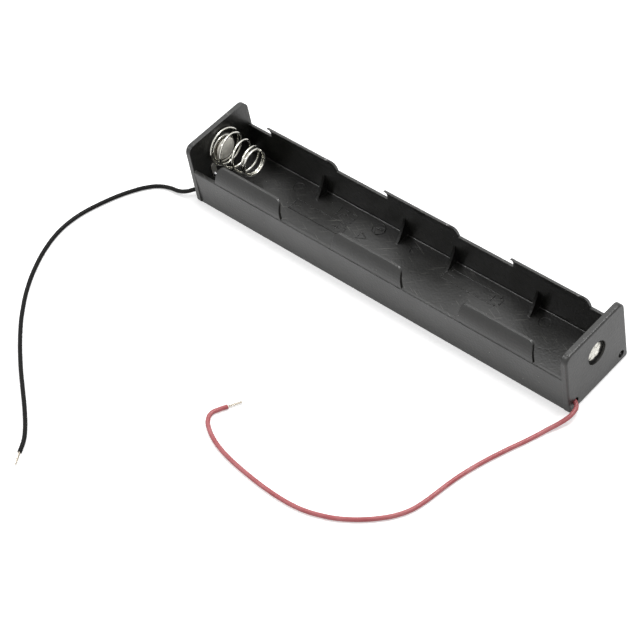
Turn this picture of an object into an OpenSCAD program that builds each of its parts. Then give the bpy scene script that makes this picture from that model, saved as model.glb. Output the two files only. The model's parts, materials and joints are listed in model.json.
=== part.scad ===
// Open holder for three R14 cells end to end, with a wire lead at each end.
// Sizes are in millimetres. The origin lies on the ground under the middle of
// the tray, +X runs from the spring end to the button end, and +Z is up.

/* [Cells] */
// Diameter of one cell
cell_d = 26.2; // [25.6:0.1:26.8]
// Play between the cells and each side wall
cell_play = 0.1; // [0.05:0.05:0.3]

/* [Tray] */
// Clear length between the end plates
bay_l = 156.6; // [154:0.2:162]
// Thickness of the floor under the cells
floor_t = 1.75; // [1.4:0.05:2.2]
// Thickness of the side walls
wall_t = 1.15; // [1:0.05:1.6]
// Height of the side walls between the clips
wall_h = 14.4; // [13:0.1:15]
// How far the parting step is set in at the top of each wall
wall_step = 0.2; // [0.1:0.05:0.3]
// Height of the parting step below the top of each wall
wall_step_h = 0.3; // [0.2:0.05:0.5]
// How far the foot of each wall is drawn in by the mould taper
wall_draft = 0.25; // [0:0.05:0.4]
// Radius of the fillet between the floor and each wall
foot_fillet_r = 0.5; // [0.2:0.1:0.9]

/* [End plates] */
// Thickness of each end plate
plate_t = 2.2; // [2:0.1:2.8]
// Height of each end plate
plate_h = 24.9; // [24:0.1:28]
// How far the plates stand out past the side walls
plate_proud = 0.25; // [0.1:0.05:0.6]
// How much each side of a plate leans in over its height
plate_taper = 0.35; // [0.05:0.05:0.8]
// Radius of the upper corners
plate_top_r = 2.8; // [1.5:0.1:4]
// Radius of the lower corners
plate_foot_r = 0.8; // [0.4:0.1:1.5]

/* [Clips] */
// Number of clips along each side
clip_count = 3; // [1:1:3]
// Length of each clip along the tray
clip_w = 30.2; // [24:0.1:38]
// Spacing of the clips along the tray
clip_pitch = 52.7; // [48:0.1:56]
// Shift of the front row of clips towards the spring end
clip_shift = 0.7; // [0:0.1:2]
// How far each end of a clip leans in over its height
clip_taper = 1.1; // [0:0.1:2]
// Height of each clip above its wall
clip_h = 6.4; // [5:0.1:7]
// Inner radius of the inward bend of each clip
clip_bend_r = 9.6; // [9.4:0.1:13]
// How much tighter the outer side of the bend is, which thins the clip towards its tip
clip_thinning = 0.4; // [0:0.1:0.8]
// Radius of the upper corners of each clip
clip_corner_r = 2.2; // [1:0.1:3]
// Radius of the corners next to the spring end in the rear row
clip_nose_r = 0.4; // [0.2:0.1:2]

/* [Cradle ribs] */
// Distance of each pair of ribs from the outer face of the spring end
rib_x = [36, 72, 93.4, 127.4]; // [10:0.1:150]
// Thickness of each rib
rib_t = 1; // [0.8:0.1:1.6]
// Height of the top of each rib above the floor
rib_h = 7.7; // [5:0.1:9]
// Reach of the foot of each rib from its wall
rib_reach = 5.5; // [4:0.1:6.5]
// How far the edge of each rib is hollowed
rib_hollow = 0.5; // [0.3:0.1:1]

/* [Ejector pin marks] */
// Distance of each pin mark from the outer face of the spring end
pin_mark_x = [27, 64, 79.5, 133]; // [20:0.1:140]
// Distance of the pin marks behind the centre line
pin_mark_y = 8.9; // [3:0.1:10]
// Diameter of each pin mark
pin_mark_d = 4; // [2:0.1:5]
// Depth of each pin mark
pin_mark_depth = 0.15; // [0.05:0.05:0.4]

/* [Wire holes] */
// Diameter of the wire hole at each lower corner of a plate
wire_hole_d = 2.7; // [2.6:0.1:3.2]
// Distance of each wire hole from the inner face of the side wall
wire_hole_inset = 1.8; // [1.7:0.1:3]

/* [Rivets] */
// Diameter of the rivet shanks
rivet_d = 3.1; // [2.4:0.1:3.4]
// Diameter of the hollow in each rivet
rivet_bore_d = 1.8; // [1:0.1:2]
// Radial clearance round each shank
rivet_fit = 0.05; // [0.05:0.01:0.2]
// Diameter of the domed heads inside the bay
rivet_head_d = 8; // [7.4:0.1:9]
// Height of the straight edge of each head
rivet_head_edge = 0.4; // [0.2:0.1:0.8]
// Height of the dome of each head above its edge
rivet_dome_h = 0.9; // [0.5:0.1:1.5]
// Diameter of the flared end of each rivet
flare_d = 6.6; // [5.6:0.1:7.4]
// Height of the flared end of each rivet
flare_h = 0.5; // [0.3:0.05:0.7]
// Number of splits round the flared end
flare_splits = 6; // [4:1:8]
// Diameter of the pocket in each plate that holds the flared end
pocket_d = 8.4; // [8:0.1:10]
// Depth of the pocket
pocket_depth = 1.3; // [0.9:0.05:1.4]

/* [Solder tags] */
// Diameter of the ring under each rivet head
tag_d = 10; // [9:0.1:11]
// Thickness of the sheet metal
tag_t = 0.3; // [0.2:0.05:0.5]
// Width of the tail of each tag
tail_w = 2.2; // [2.1:0.1:3]
// Distance of the tail in front of the rivet
tail_y = 6; // [5:0.1:7]
// Drop of the bend in the tail below the rivet
tail_bend_drop = 4.4; // [3.4:0.1:5]
// Drop of the end of the tail below the rivet
tail_drop = 8; // [7:0.1:8.6]
// Bare edge of the tail round the solder
solder_edge = 0.1; // [0.05:0.05:0.3]
// Height of the solder above its tag
solder_h = 1.1; // [1:0.1:1.4]

/* [Contact spring] */
// Thickness of the spring wire
spring_wire_d = 0.8; // [0.6:0.05:1]
// Radius of the innermost turn, under the rivet head
spring_seat_r = 2.8; // [2.6:0.1:3]
// Height of the spring's axis above the rivet that it hangs on
spring_lift = 0.6; // [0:0.1:0.8]
// Radius of the widest turn, on the plate
spring_base_r = 6.9; // [6.2:0.1:8]
// Radius of the turns that press on the cell
spring_tip_r = 4.7; // [4:0.1:6]
// Flat turns that widen from the rivet to the widest turn
spring_seat_turns = 1.25; // [1:0.25:1.75]
// Flat part of the widest turn
spring_base_turns = 0.35; // [0:0.05:0.6]
// Turns that rise between the widest turn and the tip
spring_cone_turns = 3.2; // [2.5:0.1:5]
// Closed turns at the tip
spring_tip_turns = 1.6; // [1:0.05:1.75]
// Length of the rising turns
spring_rise = 13.5; // [10:0.1:16]

/* [Leads] */
// Diameter over the insulation of each lead
lead_d = 1.5; // [1.2:0.1:1.6]
// Diameter of the tinned wire inside
core_d = 0.7; // [0.4:0.1:0.9]
// Length of bare wire at the free end of each lead
core_l = 4.7; // [3:0.1:8]
// Distance from the middle of the solder to the start of the insulation
bare_l = 1.7; // [1.4:0.1:1.8]

/* [Hidden] */
$fn = 48;
eps = 0.01;

plastic_colour = [0.09, 0.09, 0.1];
nickel_colour = [0.8, 0.79, 0.74];
solder_colour = [0.7, 0.71, 0.72];
tin_colour = [0.75, 0.72, 0.68];

tray_l = bay_l + 2 * plate_t;
bay_half = cell_d / 2 + cell_play;
wall_half = bay_half + wall_t;
plate_half = wall_half + plate_proud;
axis_z = floor_t + cell_d / 2;
wire_hole_y = bay_half - wire_hole_inset;
wire_hole_z = floor_t + wire_hole_d / 2 + 0.05;

// Distances inwards from the outer face of a plate, along its rivet.
tag_face = plate_t + tag_t;
split_w = 0.25;

// Both leads run from their solder joint through the wire hole in the same way.
// Each point is how far outwards, forwards and upwards it lies from the hole's outer end.
lead_in = [[-4.2, -3.6, 2.2], [-4.3, -2.3, 1.3], [-3.6, -1.1, 0.5], [-2.1, -0.2, 0], [0.1, 0.4, 0]];
// On the ground each lead lies its own way. Each point is how far outwards and forwards
// it lies from the wire hole, and its height above the ground.
black_way = [
    [1.9, 1.8, 2.8], [3.9, 3.5, 2.2], [6.9, 4.6, 1.5], [11, 5, 1], [15.1, 6.5, 0.8],
    [18.5, 9.5, 0.8], [21.3, 13.4, 0.8], [23.6, 17.5, 0.8], [25.5, 21.8, 0.8], [27.1, 26.2, 0.8],
    [28.4, 30.7, 0.8], [29.1, 35.3, 0.8], [29.2, 39.9, 0.8], [28.6, 44.5, 0.8], [27.4, 49, 0.8],
    [25.8, 53.4, 0.8], [23.8, 57.7, 0.8], [21.6, 61.8, 0.8], [19.1, 65.8, 0.8], [16.4, 69.6, 0.8],
    [13.4, 73.3, 0.8], [10.3, 76.9, 0.8], [7, 80.3, 0.8], [3.6, 83.6, 0.8], [0.1, 86.8, 0.8],
    [-3.5, 89.9, 0.8], [-7.1, 92.9, 0.8], [-10.8, 95.8, 0.8], [-14.5, 98.7, 0.8], [-18.2, 101.6, 0.8],
    [-21.8, 104.6, 0.8], [-25.4, 107.8, 0.8], [-28.7, 111.4, 0.8], [-31.2, 115.5, 0.8]];
red_way = [
    [1.4, 1.6, 2.9], [1.8, 3.5, 2.6], [1.5, 6, 2.2], [0.4, 8.8, 1.6], [-1.1, 11.9, 1.1],
    [-2.6, 15.6, 0.8], [-4.2, 19.8, 0.8], [-6, 24, 0.8], [-7.7, 28.3, 0.8], [-9.3, 32.6, 0.8],
    [-10.7, 37, 0.8], [-11.9, 41.5, 0.8], [-12.8, 46, 0.8], [-13.5, 50.6, 0.8], [-14.3, 55.1, 0.8],
    [-15.6, 59.5, 0.8], [-17.9, 63.5, 0.8], [-20.9, 67, 0.8], [-24.3, 70.1, 0.8], [-28.1, 72.9, 0.8],
    [-32.2, 75.3, 0.8], [-36.5, 77.1, 0.8], [-41, 78.5, 0.8], [-45.7, 79.3, 0.8], [-50.4, 79.6, 0.8],
    [-55.1, 79.6, 0.8], [-59.8, 79.4, 0.8], [-64.5, 79, 0.8], [-69.2, 78.5, 0.8], [-73.8, 77.8, 0.8],
    [-78.4, 76.8, 0.8], [-82.8, 75.3, 0.8], [-86.7, 73.3, 0.8], [-89.5, 71, 0.8], [-90.6, 68.4, 0.8],
    [-89.7, 66, 0.8], [-88.1, 63.3, 0.8]];

function unit(v) = v / norm(v);
function clamp(v) = min(max(v, 0), 1);

// Direction of a path at one of its points.
function heading(path, i) =
    unit(path[min(i + 1, len(path) - 1)] - path[max(i - 1, 0)]);

// Points of one ring of a tube round a path; side_of points away from the
// path's own direction all along it.
function ring(path, i, r, sides, side_of) =
    let (along = heading(path, i), across = unit(cross(along, side_of)), over = cross(across, along))
    [for (k = [0 : sides - 1])
        path[i] + r * (cos(360 * (k + 0.5) / sides) * across + sin(360 * (k + 0.5) / sides) * over)];

// Tube of even thickness along a path, closed at both ends.
module tube(path, r, sides, side_of) {
    count = len(path);
    points = [for (i = [0 : count - 1]) each ring(path, i, r, sides, side_of)];
    walls = [for (i = [0 : count - 2], k = [0 : sides - 1])
        let (a = i * sides + k, b = i * sides + (k + 1) % sides) [a, b, b + sides, a + sides]];
    first = [for (k = [sides - 1 : -1 : 0]) k];
    last = [for (k = [0 : sides - 1]) (count - 1) * sides + k];
    polyhedron(points = points, faces = concat(walls, [first, last]), convexity = 8);
}

// Turns a flat shape upright: its X becomes Y, its Y becomes Z, and it is
// raised along X.
module across_tray(thickness) {
    rotate([90, 0, 90]) linear_extrude(thickness) children();
}

// Places a piece on the rivet axis of one end, with +X pointing into the bay.
module at_end(side) {
    if (side < 0) translate([-tray_l / 2, 0, axis_z]) children();
    else mirror([1, 0, 0]) translate([-tray_l / 2, 0, axis_z]) children();
}

module both_sides() {
    children();
    mirror([0, 1, 0]) children();
}

// Outline of an end plate: sides that lean in, with rounded corners.
module plate_outline() {
    lean = atan(plate_taper / plate_h);
    foot_y = plate_half - plate_foot_r * (1 + sin(lean)) / cos(lean);
    top_z = plate_h - plate_top_r;
    top_y = plate_half - (plate_top_r + top_z * sin(lean)) / cos(lean);
    side_normal = [cos(lean), sin(lean)];
    foot = [foot_y, plate_foot_r];
    top = [top_y, top_z];
    foot_edge = foot + plate_foot_r * side_normal;
    top_edge = top + plate_top_r * side_normal;
    polygon([[foot_y, 0], foot_edge, top_edge, [top_y, plate_h],
             [-top_y, plate_h], [-top_edge[0], top_edge[1]], [-foot_edge[0], foot_edge[1]], [-foot_y, 0]]);
    for (s = [-1, 1]) {
        translate([s * foot_y, plate_foot_r]) circle(plate_foot_r);
        translate([s * top_y, top_z]) circle(plate_top_r);
    }
}

module end_plate() {
    difference() {
        across_tray(plate_t) plate_outline();
        translate([-1, 0, axis_z]) rotate([0, 90, 0]) cylinder(d = pocket_d, h = pocket_depth + 1);
        translate([-1, 0, axis_z]) rotate([0, 90, 0])
            cylinder(d = rivet_d + 2 * rivet_fit, h = plate_t + 2);
        both_sides() translate([-1, wire_hole_y, wire_hole_z]) rotate([0, 90, 0])
            cylinder(d = wire_hole_d, h = plate_t + 2);
    }
}

// Floor and side walls, as one section along the whole bay.
module trough_section() {
    foot_half = wall_half - wall_draft;
    step_half = wall_half - wall_step;
    step_z = wall_h - wall_step_h;
    difference() {
        polygon([[-foot_half, 0], [foot_half, 0], [wall_half, step_z], [step_half, step_z],
                 [step_half, wall_h], [-step_half, wall_h], [-step_half, step_z], [-wall_half, step_z]]);
        translate([-bay_half, floor_t]) square([2 * bay_half, wall_h]);
    }
    for (s = [-1, 1]) difference() {
        translate([s * (bay_half - foot_fillet_r / 2), floor_t + foot_fillet_r / 2])
            square(foot_fillet_r + 2 * eps, center = true);
        translate([s * (bay_half - foot_fillet_r), floor_t + foot_fillet_r]) circle(foot_fillet_r);
    }
}

// Bent section of the clip on the +Y side. Both of its sides are tangent to the wall below.
module clip_section() {
    outer_r = clip_bend_r - clip_thinning;
    outer_y = wall_half - wall_step;
    intersection() {
        translate([outer_y - outer_r, wall_h]) circle(outer_r);
        translate([0, wall_h - eps]) square([wall_half, clip_h + eps]);
        difference() {
            translate([0, wall_h - eps]) square([wall_half, clip_h + eps]);
            translate([bay_half - clip_bend_r, wall_h]) circle(clip_bend_r);
        }
    }
}

// Face of a clip seen from the side: its ends lean in, and its upper corners are rounded.
module clip_face(spring_end_r) {
    lean = atan(clip_taper / clip_h);
    foot = clip_w / 2;
    r_low = spring_end_r;
    r_high = clip_corner_r;
    low_x = -foot + clip_taper * (clip_h - r_low) / clip_h + r_low / cos(lean);
    high_x = foot - clip_taper * (clip_h - r_high) / clip_h - r_high / cos(lean);
    low_edge = [low_x - r_low * cos(lean), clip_h - r_low + r_low * sin(lean)];
    high_edge = [high_x + r_high * cos(lean), clip_h - r_high + r_high * sin(lean)];
    translate([0, wall_h]) {
        polygon([[-foot, -1], [foot, -1], [foot, 0], high_edge,
                 [high_x, clip_h], [low_x, clip_h], low_edge, [-foot, 0]]);
        translate([low_x, clip_h - r_low]) circle(r_low);
        translate([high_x, clip_h - r_high]) circle(r_high);
    }
}

module clip(spring_end_r) {
    intersection() {
        translate([-clip_w / 2, 0, 0]) across_tray(clip_w) clip_section();
        rotate([90, 0, 0]) translate([0, 0, -plate_half])
            linear_extrude(plate_half) clip_face(spring_end_r);
    }
}

module clip_row(spring_end_r) {
    for (i = [0 : clip_count - 1])
        translate([(i - (clip_count - 1) / 2) * clip_pitch, 0, 0]) clip(spring_end_r);
}

// Corner gusset with a slightly hollow edge, which stays clear of the cells.
module rib() {
    edge = norm([rib_reach, rib_h]);
    edge_r = (pow(edge / 2, 2) + pow(rib_hollow, 2)) / (2 * rib_hollow);
    across = [-rib_h, rib_reach] / edge;
    middle = [bay_half - rib_reach / 2, floor_t + rib_h / 2];
    translate([-rib_t / 2, 0, 0]) across_tray(rib_t) difference() {
        translate([bay_half - rib_reach, floor_t - eps]) square([rib_reach + eps, rib_h + eps]);
        translate(middle + (edge_r - rib_hollow) * across) circle(edge_r);
    }
}

module tray() {
    color(plastic_colour) difference() {
        union() {
            translate([-bay_l / 2 - 1, 0, 0]) across_tray(bay_l + 2) trough_section();
            translate([-tray_l / 2, 0, 0]) end_plate();
            mirror([1, 0, 0]) translate([-tray_l / 2, 0, 0]) end_plate();
            clip_row(clip_nose_r);
            translate([-clip_shift, 0, 0]) mirror([0, 1, 0]) clip_row(clip_corner_r);
            both_sides() for (x = rib_x) translate([x - tray_l / 2, 0, 0]) rib();
        }
        for (x = pin_mark_x) translate([x - tray_l / 2, pin_mark_y, floor_t - pin_mark_depth])
            cylinder(d = pin_mark_d, h = 1);
    }
}

// Hollow rivet, flared in its pocket outside and domed inside. The grip is what it holds
// against the inner face of the plate.
module rivet(grip) {
    head_x = plate_t + grip;
    dome_r = (pow(rivet_head_d / 2, 2) + pow(rivet_dome_h, 2)) / (2 * rivet_dome_h);
    color(nickel_colour) rotate([0, 90, 0]) {
        difference() {
            union() {
                translate([0, 0, pocket_depth - eps])
                    cylinder(d = rivet_d, h = head_x - pocket_depth + 2 * eps);
                rotate_extrude() polygon([
                    [0, pocket_depth - flare_h], [rivet_d / 2, pocket_depth - flare_h],
                    [flare_d / 2, pocket_depth - flare_h / 3], [flare_d / 2, pocket_depth], [0, pocket_depth]]);
            }
            translate([0, 0, pocket_depth - flare_h - 1])
                cylinder(d = rivet_bore_d, h = head_x - pocket_depth + flare_h + 1);
            for (i = [0 : flare_splits - 1]) rotate(360 * i / flare_splits)
                translate([rivet_d / 2, -split_w / 2, pocket_depth - flare_h - 1])
                    cube([flare_d, split_w, flare_h + 1 + eps]);
        }
        translate([0, 0, head_x]) cylinder(d = rivet_head_d, h = rivet_head_edge);
        intersection() {
            translate([0, 0, head_x + rivet_head_edge + rivet_dome_h - dome_r]) sphere(dome_r);
            translate([0, 0, head_x + eps]) cylinder(d = rivet_head_d, h = 2 * dome_r);
        }
    }
}

// Flat bar from one point to another, with a round far end.
module bar(from, to, width) {
    reach = to - from;
    translate(from) rotate(atan2(reach[1], reach[0]))
        translate([0, -width / 2]) square([norm(reach), width]);
    translate(to) circle(width / 2);
}

// Ring under the rivet head, with a tail that drops towards the wire hole.
module tag() {
    bend = [-tail_y, -tail_bend_drop];
    color(nickel_colour) translate([plate_t, 0, 0]) across_tray(tag_t) difference() {
        union() {
            circle(d = tag_d);
            bar([0, 0], bend, tail_w);
            bar(bend, [-tail_y, -tail_drop], tail_w);
        }
        circle(d = rivet_d + 2 * rivet_fit);
    }
}

// Point that lies so far outwards and forwards from the wire hole at one end, at a height.
function from_hole(side, out, ahead, height) =
    [side * (tray_l / 2 + out), -wire_hole_y - ahead, height];
// Centre of a lead from its first bend on.
function bends(side, way) = concat(
    [for (p = lead_in) from_hole(side, p[0], p[1], wire_hole_z + p[2])],
    [for (p = way) from_hole(side, p[0], p[1], p[2])]);
// Point inside the solder at one end where the wire of the lead starts.
function joint(side) =
    [side * (tray_l / 2 - tag_face - solder_h / 2), -tail_y, axis_z - tail_drop];
// Direction in which the wire leaves the solder.
function lead_start(side, way) = unit(bends(side, way)[0] - joint(side));
// Whole route of the insulation of a lead.
function route(side, way) =
    concat([joint(side) + bare_l * lead_start(side, way)], bends(side, way));

// Cylinder from a point along a direction.
module rod(from, along, d, length) {
    translate(from) rotate([0, acos(along[2]), atan2(along[1], along[0])]) cylinder(d = d, h = length);
}

// Mound of solder on the tail of the tag, with the bare wire that comes out of it.
module solder(side, way) {
    foot_r = tail_w / 2 - solder_edge;
    mound_r = (pow(foot_r, 2) + pow(solder_h, 2)) / (2 * solder_h);
    color(solder_colour) {
        at_end(side) translate([tag_face, -tail_y, -tail_drop]) rotate([0, 90, 0]) intersection() {
            translate([0, 0, solder_h - mound_r]) sphere(mound_r);
            translate([0, 0, 2 * mound_r]) cube(4 * mound_r, center = true);
        }
        rod(joint(side), lead_start(side, way), core_d, bare_l);
    }
}

module lead(side, way, colour) {
    color(colour) tube(route(side, way), lead_d / 2, 8, [0, 0, 1]);
}

// Bare end of a lead, straight on from the end of its insulation.
module lead_tip(side, way) {
    points = bends(side, way);
    last = len(points) - 1;
    color(tin_colour) rod(points[last], heading(points, last), core_d, core_l);
}

// Distance of the spring wire from the spring's axis, at a number of turns from the
// start of the widest turn.
function spring_radius(turn) =
    turn < 0
    ? spring_base_r + (spring_base_r - spring_seat_r) * turn / spring_seat_turns
    : spring_base_r + (spring_tip_r - spring_base_r)
        * clamp(turn / (spring_base_turns + spring_cone_turns));
// Height of the spring wire above its seat there: slow at both ends of the rise.
function spring_height(turn) =
    let (risen = clamp((turn - spring_base_turns) / spring_cone_turns))
    spring_rise * (risen - sin(360 * risen) / 25)
    + spring_wire_d * max(turn - spring_base_turns - spring_cone_turns, 0);

// Conical spring, wound flat under the rivet head and closed at its tip.
module contact_spring() {
    steps = 24;
    turns = spring_base_turns + spring_cone_turns + spring_tip_turns;
    seat_x = tag_face + spring_wire_d / 2;
    path = [for (i = [-spring_seat_turns * steps : turns * steps])
        let (turn = i / steps, r = spring_radius(turn))
        [seat_x + spring_height(turn), r * cos(360 * turn), spring_lift + r * sin(360 * turn)]];
    color(nickel_colour) at_end(-1) tube(path, spring_wire_d / 2, 8, [1, 0, 0]);
}

module spring_rivet() {
    at_end(-1) rivet(tag_t + spring_wire_d);
}

module spring_tag() {
    at_end(-1) tag();
}

module spring_solder() {
    solder(-1, black_way);
}

module button_rivet() {
    at_end(1) rivet(tag_t);
}

module button_tag() {
    at_end(1) tag();
}

module button_solder() {
    solder(1, red_way);
}

module black_lead() {
    lead(-1, black_way, [0.03, 0.03, 0.03]);
}

module black_lead_tip() {
    lead_tip(-1, black_way);
}

module red_lead() {
    lead(1, red_way, [0.75, 0.2, 0.2]);
}

module red_lead_tip() {
    lead_tip(1, red_way);
}

tray();
contact_spring();
spring_rivet();
spring_tag();
spring_solder();
button_rivet();
button_tag();
button_solder();
black_lead();
black_lead_tip();
red_lead();
red_lead_tip();
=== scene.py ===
"""Looks of an open holder for three round cells, with a coil contact and two wire leads.

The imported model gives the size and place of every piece. This script gives each piece its
finish, rebuilds the ones whose form is finer than the solids, and lights them for a picture.
"""

from __future__ import annotations

import logging
import math
from abc import ABC, abstractmethod
from collections.abc import Sequence
from dataclasses import dataclass, field
from enum import Enum

import bmesh
import bpy
from mathutils import Matrix, Vector
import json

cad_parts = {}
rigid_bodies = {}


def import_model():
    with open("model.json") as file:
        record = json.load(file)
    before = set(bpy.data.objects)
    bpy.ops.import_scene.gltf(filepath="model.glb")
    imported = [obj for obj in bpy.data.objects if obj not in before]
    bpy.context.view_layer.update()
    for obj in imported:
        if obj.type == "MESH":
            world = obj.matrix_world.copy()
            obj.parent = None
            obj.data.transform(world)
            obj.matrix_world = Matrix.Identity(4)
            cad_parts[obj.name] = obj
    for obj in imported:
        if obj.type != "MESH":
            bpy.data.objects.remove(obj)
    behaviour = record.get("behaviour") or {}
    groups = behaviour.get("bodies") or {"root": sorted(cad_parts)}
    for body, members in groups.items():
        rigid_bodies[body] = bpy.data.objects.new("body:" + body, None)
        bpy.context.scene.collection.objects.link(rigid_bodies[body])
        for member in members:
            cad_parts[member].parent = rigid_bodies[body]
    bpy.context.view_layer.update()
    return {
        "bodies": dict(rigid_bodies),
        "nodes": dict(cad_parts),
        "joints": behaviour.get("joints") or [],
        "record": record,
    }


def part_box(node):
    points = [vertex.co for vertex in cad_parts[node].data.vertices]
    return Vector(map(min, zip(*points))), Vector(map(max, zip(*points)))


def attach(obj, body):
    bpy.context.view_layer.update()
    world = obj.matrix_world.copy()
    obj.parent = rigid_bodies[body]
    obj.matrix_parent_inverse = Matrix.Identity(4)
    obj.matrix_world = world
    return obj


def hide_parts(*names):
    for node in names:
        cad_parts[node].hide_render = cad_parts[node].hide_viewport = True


Tree = bpy.types.NodeTree
Socket = bpy.types.NodeSocket
Node = bpy.types.Node
Material = bpy.types.Material
Piece = bpy.types.Object
BMesh = bmesh.types.BMesh
Vert = bmesh.types.BMVert

MM = 0.001
BODY = "root"
UP = Vector((0.0, 0.0, 1.0))
MERGE = 0.002 * MM
FLAT = math.radians(0.4)
ON_AXIS = 1e-9
# The middle of a noise lies between these values.
NOISE_LOW, NOISE_HIGH = 0.3, 0.7
# Angles in degrees from which the edges of a wire, and of the solder, stay sharp.
WIRE_SHARP, SOLDER_SHARP = 50.0, 60.0
AXIS_Z = 14.85 * MM
HOLE_Y = 11.4 * MM
HOLE_Z = 3.15 * MM
WHITE = (1.0, 1.0, 1.0, 1.0)

log = logging.getLogger("cell_holder")


# ---------------------------------------------------------------- small tools


def linear(hex_colour: str) -> tuple[float, float, float, float]:
    """Turns an sRGB hex value into the linear colour that a shader takes.

    Args:
        hex_colour: Six hex digits, with or without a leading '#'.

    Returns:
        Linear red, green and blue, with alpha 1.
    """
    digits = hex_colour.lstrip("#")
    channels = [int(digits[i : i + 2], 16) / 255 for i in (0, 2, 4)]
    turned = [c / 12.92 if c <= 0.04045 else ((c + 0.055) / 1.055) ** 2.4 for c in channels]
    return (turned[0], turned[1], turned[2], 1.0)


def feed(tree: Tree, node: Node, links: dict[str | int, object]) -> None:
    """Fills a node's inputs.

    Args:
        tree: The tree that holds the node.
        node: The node.
        links: Socket name or index, and an output socket to link or a value to set.
    """
    for key, value in links.items():
        if isinstance(value, Socket):
            tree.links.new(value, node.inputs[key])
        else:
            node.inputs[key].default_value = value


def add_node(
    tree: Tree,
    kind: str,
    settings: dict[str, object] | None = None,
    links: dict[str | int, object] | None = None,
) -> Node:
    """Adds a node to a tree, with its settings and what goes into its sockets.

    Args:
        tree: The shader or geometry tree.
        kind: The node's type name.
        settings: Attributes of the node itself.
        links: What goes into its inputs, as feed() takes it.

    Returns:
        The new node.
    """
    node = tree.nodes.new(kind)
    for name, value in (settings or {}).items():
        setattr(node, name, value)
    feed(tree, node, links or {})
    return node


def mesh_piece(name: str, mesh: BMesh, smooth_deg: float = 30.0) -> Piece:
    """Makes a piece of a finished mesh, smooth except at its sharp edges.

    Args:
        name: Name of the piece.
        mesh: The mesh, in the row frame, which is freed.
        smooth_deg: Edges that turn more than this stay sharp.

    Returns:
        The linked object.
    """
    data = bpy.data.meshes.new(name)
    mesh.to_mesh(data)
    mesh.free()
    piece = linked(name, data)
    smooth(data, smooth_deg)
    return piece


def linked(name: str, data: bpy.types.ID) -> Piece:
    """Puts a new object with this data in the scene.

    Args:
        name: Its name.
        data: Its mesh, curve, lamp or camera.

    Returns:
        The object.
    """
    made = bpy.data.objects.new(name, data)
    bpy.context.scene.collection.objects.link(made)
    return made


def smooth(data: bpy.types.Mesh, sharp_deg: float) -> None:
    """Shades a mesh smooth, except at edges that turn more than an angle.

    Args:
        data: The mesh.
        sharp_deg: The angle.
    """
    data.shade_smooth()
    data.set_sharp_from_angle(angle=math.radians(sharp_deg))


def solid_mesh(frame: dict, node: str) -> BMesh:
    """Copies a solid's mesh, with its doubles merged and its flat faces whole.

    Args:
        node: Name of the CAD node.

    Returns:
        The copy.
    """
    mesh = bmesh.new()
    mesh.from_mesh(frame["nodes"][node].data)
    bmesh.ops.remove_doubles(mesh, verts=mesh.verts, dist=MERGE)
    bmesh.ops.dissolve_limit(mesh, angle_limit=FLAT, verts=mesh.verts, edges=mesh.edges)
    return mesh


def bevelled(piece: Piece, width: float, steps: int, from_deg: float) -> None:
    """Gives a piece's sharp edges a small round.

    Args:
        piece: The piece.
        width: Width of the round.
        steps: Faces across it.
        from_deg: Edges that turn more than this get it.
    """
    bevel = piece.modifiers.new("edge_round", "BEVEL")
    bevel.limit_method = "ANGLE"
    bevel.angle_limit = math.radians(from_deg)
    bevel.width = width
    bevel.segments = steps


def new_tree(name: str, sizes: dict[str, float | int]) -> Tree:
    """Makes an empty geometry tree with an input for each size.

    Args:
        name: Name of the tree.
        sizes: Name and value of each input.

    Returns:
        The tree.
    """
    tree = bpy.data.node_groups.new(name, "GeometryNodeTree")
    tree.interface.new_socket("Geometry", in_out="OUTPUT", socket_type="NodeSocketGeometry")
    for size, value in sizes.items():
        kind = "NodeSocketInt" if isinstance(value, int) else "NodeSocketFloat"
        made = tree.interface.new_socket(size, in_out="INPUT", socket_type=kind)
        made.default_value = value
    return tree


def work_out(tree: Tree, formulas: Sequence[tuple]) -> dict[str, Socket]:
    """Works out the formulas of a geometry tree, in order.

    Each may use the tree's inputs, the point's "index" and the results before it.

    Args:
        tree: The geometry tree.
        formulas: Name of the result, its operation, and the numbers or names that it takes.

    Returns:
        Every value by its name.
    """
    known = {socket.name: socket for socket in add_node(tree, "NodeGroupInput").outputs}
    known["index"] = add_node(tree, "GeometryNodeInputIndex").outputs[0]
    for name, kind, *values in formulas:
        links = {i: known[v] if isinstance(v, str) else v for i, v in enumerate(values)}
        known[name] = add_node(tree, "ShaderNodeMath", {"operation": kind}, links).outputs[0]
    return known


def finish_tree(tree: Tree, shape: Socket, material: Material) -> Tree:
    """Ends a geometry tree: its copies made real, with their material.

    Args:
        tree: The tree.
        shape: What it has made.
        material: The material.

    Returns:
        The same tree.
    """
    real = add_node(tree, "GeometryNodeRealizeInstances", links={0: shape})
    links = {"Geometry": real.outputs[0], "Material": material}
    done = add_node(tree, "GeometryNodeSetMaterial", links=links)
    add_node(tree, "NodeGroupOutput", links={0: done.outputs[0]})
    return tree


def wire_along(
    tree: Tree, line: Socket, place: dict[str, Socket], radius: Socket, sides: int
) -> Socket:
    """Moves a line's points to their places and sweeps a round wire along them.

    Args:
        tree: The geometry tree.
        line: The line.
        place: X, Y and Z of its points.
        radius: Radius of the wire.
        sides: Faces round it.

    Returns:
        The wire.
    """
    points = add_node(tree, "ShaderNodeCombineXYZ", links=place).outputs[0]
    moved = add_node(tree, "GeometryNodeSetPosition", links={"Geometry": line, "Position": points})
    curve = add_node(tree, "GeometryNodeMeshToCurve", links={"Mesh": moved.outputs[0]})
    links = {"Resolution": sides, "Radius": radius}
    section = add_node(tree, "GeometryNodeCurvePrimitiveCircle", links=links).outputs["Curve"]
    links = {"Curve": curve.outputs[0], "Profile Curve": section, "Fill Caps": True}
    return add_node(tree, "GeometryNodeCurveToMesh", links=links).outputs[0]


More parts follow.
